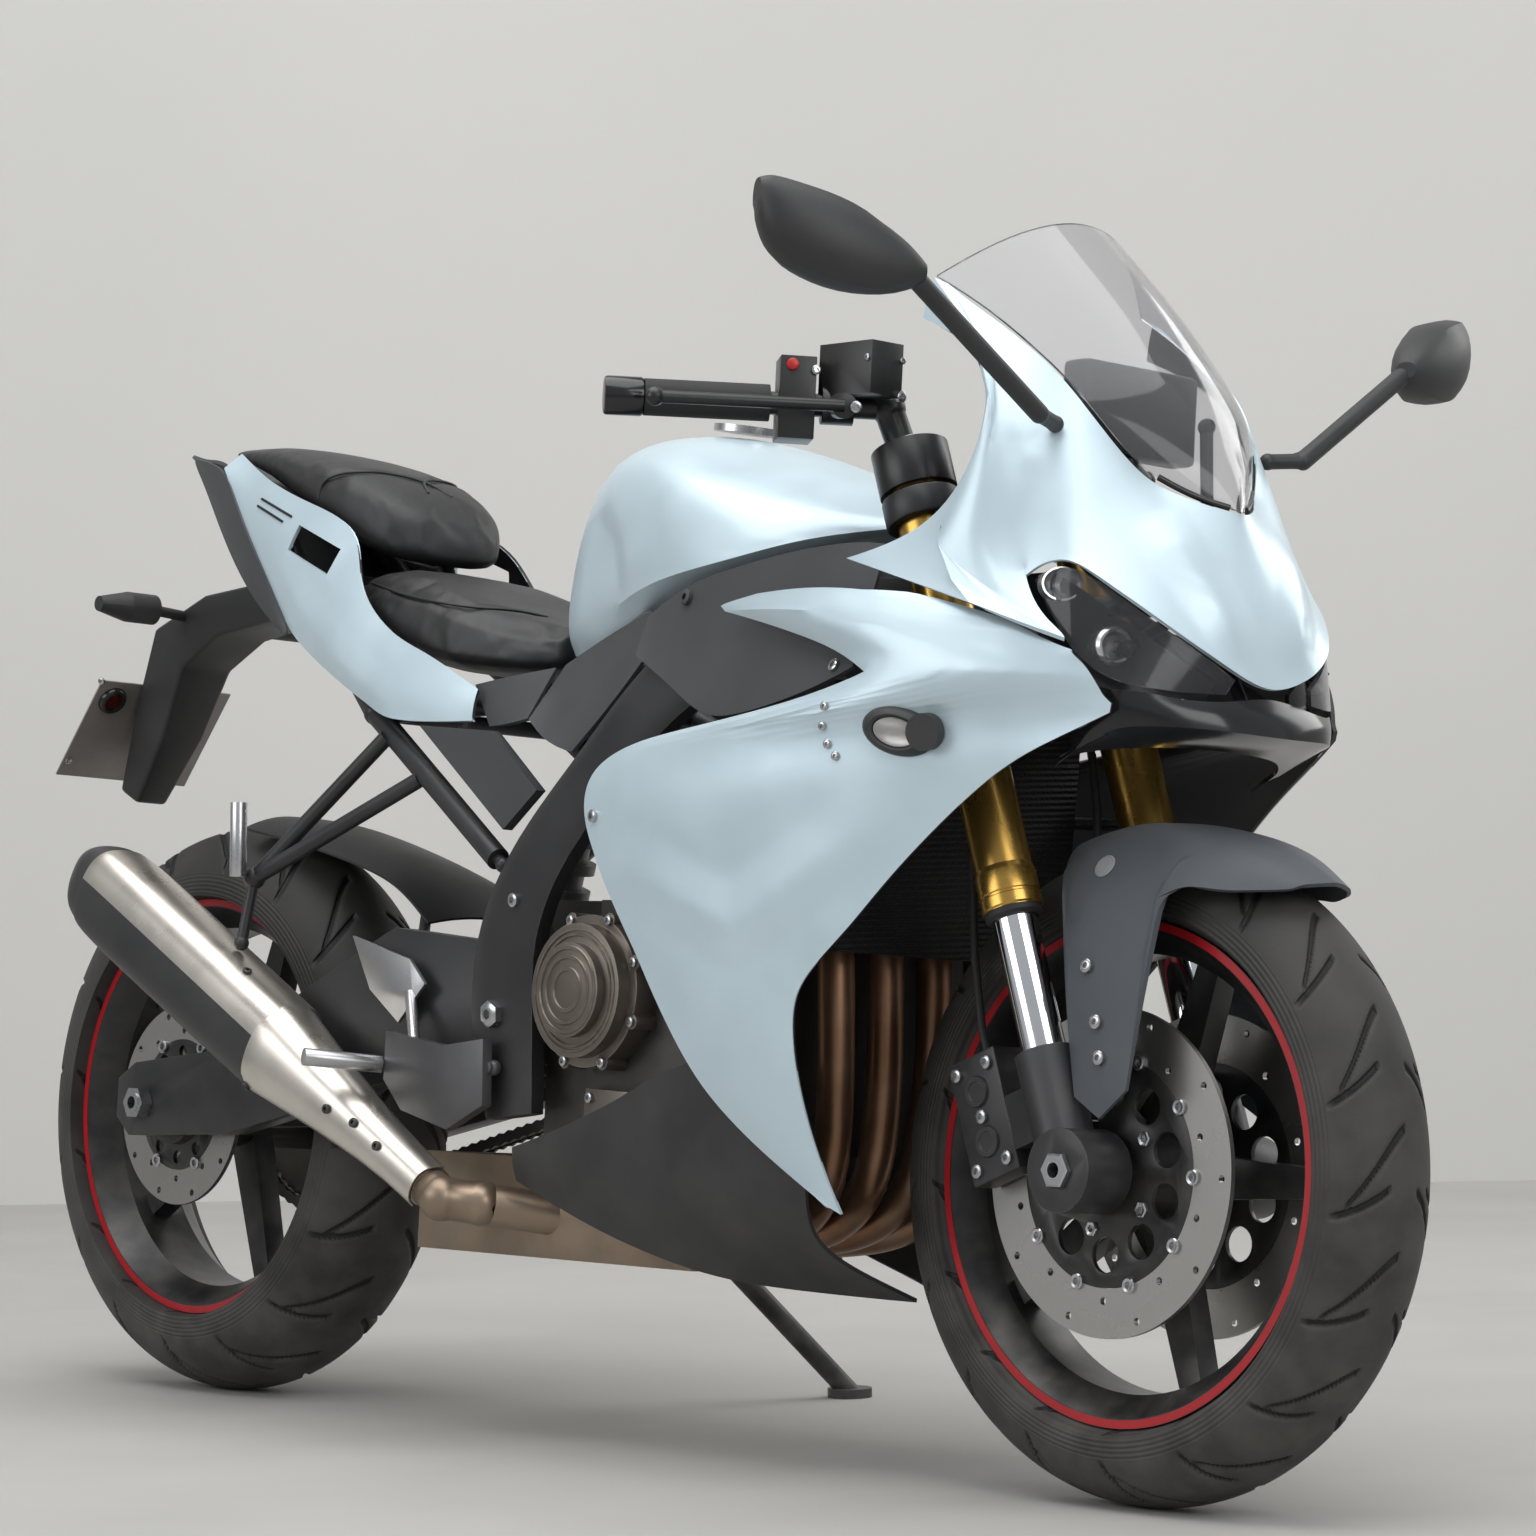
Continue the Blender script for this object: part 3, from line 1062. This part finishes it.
def lofted(rings):
    """A closed skin through rings of places, with flat ends."""
    count = len(rings[0])
    mesh = bpy.data.meshes.new("lofted")
    places = [place for ring in rings for place in ring]
    faces = []
    for k in range(0, len(places) - count, count):
        for i in range(count):
            beside = (i + 1) % count
            faces.append((k + i, k + beside, k + count + beside, k + count + i))
    faces += [tuple(range(count)), tuple(range(len(places) - count, len(places)))]
    mesh.from_pydata(places, [], faces)
    piece = placed("lofted", mesh)
    mesh_open()
    bpy.ops.mesh.normals_make_consistent(inside=False)
    mesh_shut()
    worked(piece, "BEVEL", width=0.006, segments=3)
    bpy.ops.object.shade_smooth_by_angle(angle=math.radians(30))
    return piece


# Rows along the arm: fore, up, half depth and half width.
arm_rows = ((152, 864, 16, 36), (40, 876, 22, 40), (-70, 862, 24, 46), (-150, 828, 32, 44),
            (-190, 742, 28, 36), (-236, 660, 16, 26))
arm_corners = ((-1, -1), (-1, 1), (1, 0.8), (1, -0.8))
rings = []
for k, (x, z, deep, wide) in enumerate(arm_rows):
    a, b = arm_rows[max(k - 1, 0)], arm_rows[min(k + 1, len(arm_rows) - 1)]
    run = Vector((b[0] - a[0], 0, b[1] - a[1])).normalized()
    side = Vector((-run.z, 0, run.x)) * deep
    rings.append([bike(x + side.x * u, wide * v, z + side.z * u) for u, v in arm_corners])
arm = joined("plate_arm", [lofted(rings)], matt_black, "chassis")
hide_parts("plate_hanger")
reflector_rim = [(0, 3.4), (10.5, 3.4), (11.5, 6), (15, 6), (17, 3), (17, -4)]
jewel = [(0, 6.6), (5, 6.2), (10.6, 4.2), (10.6, 3)]
reflector_red = clear_plastic("reflector_red", (0.75, 0.06, 0.02), 0.15)
reflector_pixel, plate_bolt_pixels = (112, 700), ((68, 760), (98, 681))
spot = seen(*reflector_pixel, plate)
joined("reflector_rim", copied(turned(reflector_rim, 36), [looking(*spot)]), gloss_black, "chassis")
joined("reflector_lens", copied(turned(jewel, 36), [looking(*spot)]), reflector_red, "chassis")
screw_heads("plate_bolts", "chassis", [seen(*px, plate) for px in plate_bolt_pixels], 0.004, bolt_steel)

# Tail trim
# A grey moulded strip closes the tail's rear edge, clipped to both panels.
near_edge = ((4, -84, 1021), (40, -93.5, 985), (73, -102, 950), (108, -108.5, 916), (143, -115, 882),
             (206, -129, 823))
back_edge = ((-119, -42, 1046), (-66, -58, 1008), (-15, -72, 957), (60, -92, 893), (135, -109, 846),
             (196, -127, 822))
strips = []
for side in (1, -1):
    rows = []
    for (ax, ay, az), (bx, by, bz) in zip(near_edge, back_edge):
        mid = ((ax + bx) / 2, (ay + by) / 2 - 5, (az + bz) / 2)
        rows.append([bike(ax, side * ay, az), bike(mid[0], side * mid[1], mid[2]), bike(bx, side * by, bz)])
    mesh = bpy.data.meshes.new("tail_strip")
    starts = [3 * k + i for k in range(5) for i in range(2)]
    mesh.from_pydata([p for row in rows for p in row], [], [(k, k + 1, k + 4, k + 3) for k in starts])
    strip = placed("tail_strip", mesh)
    worked(strip, "SUBSURF", levels=2, render_levels=2)
    worked(strip, "SOLIDIFY", thickness=0.003, offset=0)
    mesh_open()
    bpy.ops.mesh.normals_make_consistent(inside=False)
    mesh_shut()
    bpy.ops.object.shade_smooth_by_angle(angle=math.radians(40))
    strips.append(strip)
joined("tail_strips", strips, panel_grey, "chassis")

# Seats
# Two foam pads under black vinyl, stretched over a pan and sewn with a raised welt round the top.
vinyl = finish("vinyl", (0.014, 0.014, 0.015), (0.022, 0.022, 0.023), 0.48, 0.0, 1800, 0.3)


def stuffed(name):
    """The seat's solid drawn in a little, then blown up from within like foam under its cover."""
    pad = copy_of(name)
    worked(pad, "DISPLACE", strength=-0.005, mid_level=0)
    pad.data.remesh_voxel_size = 0.006
    bpy.ops.object.voxel_remesh()
    held = pad.vertex_groups.new(name="held")
    for point in pad.data.vertices:
        held.add([point.index], 1.0 if point.normal.z < -0.5 else 0.0, "REPLACE")
    start = [point.co.copy() for point in pad.data.vertices]
    cover = pad.modifiers.new("cover", "CLOTH")
    cover.settings.use_pressure = True
    cover.settings.uniform_pressure_force = 4
    cover.settings.effector_weights.gravity = 0
    cover.settings.vertex_group_mass = "held"
    cover.point_cache.frame_start, cover.point_cache.frame_end = 1, 20
    for step in range(1, 21):
        bpy.context.scene.frame_set(step)
    now = pad.evaluated_get(bpy.context.evaluated_depsgraph_get()).data.vertices
    grown = [point.co.copy() for point in now]
    pad.modifiers.remove(cover)
    bpy.context.scene.frame_set(1)
    for point, old, new in zip(pad.data.vertices, start, grown):
        move = new - old
        point.co = old + move * min(1.0, 0.006 / max(move.length, 1e-9))
    only(pad)
    worked(pad, "SUBSURF", levels=1, render_levels=1)
    worked(pad, "SMOOTH", factor=0.5, iterations=8)
    bpy.ops.object.shade_smooth()
    settle(pad, name, vinyl)
    return pad


def welt(name, pad, pixels):
    """A sewn welt that lies in a sunk seam, on the right and the left."""
    line = [seen(*px, pad)[0] for px in pixels]
    runs = []
    for way in line_pair(line):
        pressed_line(pad, way, -0.003, 0.012)
        runs.append(hose("run", "chassis", way, 0.0016, vinyl))
    return joined(name, runs, vinyl, "chassis")


rider_pad, pillion_pad = stuffed("seat"), stuffed("pillion_seat")
seat_welt_pixels = ((372, 583), (414, 597), (472, 607), (520, 611), (548, 617))
pillion_welt_pixels = ((318, 499), (324, 482), (337, 475), (361, 472), (392, 474), (426, 483), (452, 497))
welt("seat_welt", rider_pad, seat_welt_pixels)
welt("pillion_welt", pillion_pad, pillion_welt_pixels)

# Footrests
# Machined alloy brackets with pegs, bolted to the frame, bright but for the dark plate behind them.
rests = eased_casting("rearsets", bare_steel, 0.0015)
plate_grey = finish("plate_grey", (0.085, 0.085, 0.09), (0.11, 0.11, 0.115), 0.4, 0.6, 500, 0.12, 0.2)
rests.data.materials.append(plate_grey)
low, high = bike(480, -200, 296), bike(660, -170, 404)
for face in rests.data.polygons:
    on_plate = low.x < face.center.x < high.x and abs((face.center - bike(0, 0, 0)).dot(axle_way)) < 0.1955
    face.material_index = 1 if on_plate and (face.center - bike(0, 0, 402)).z < 0.016 else 0
wear_as(bare_steel, "tank_cap")
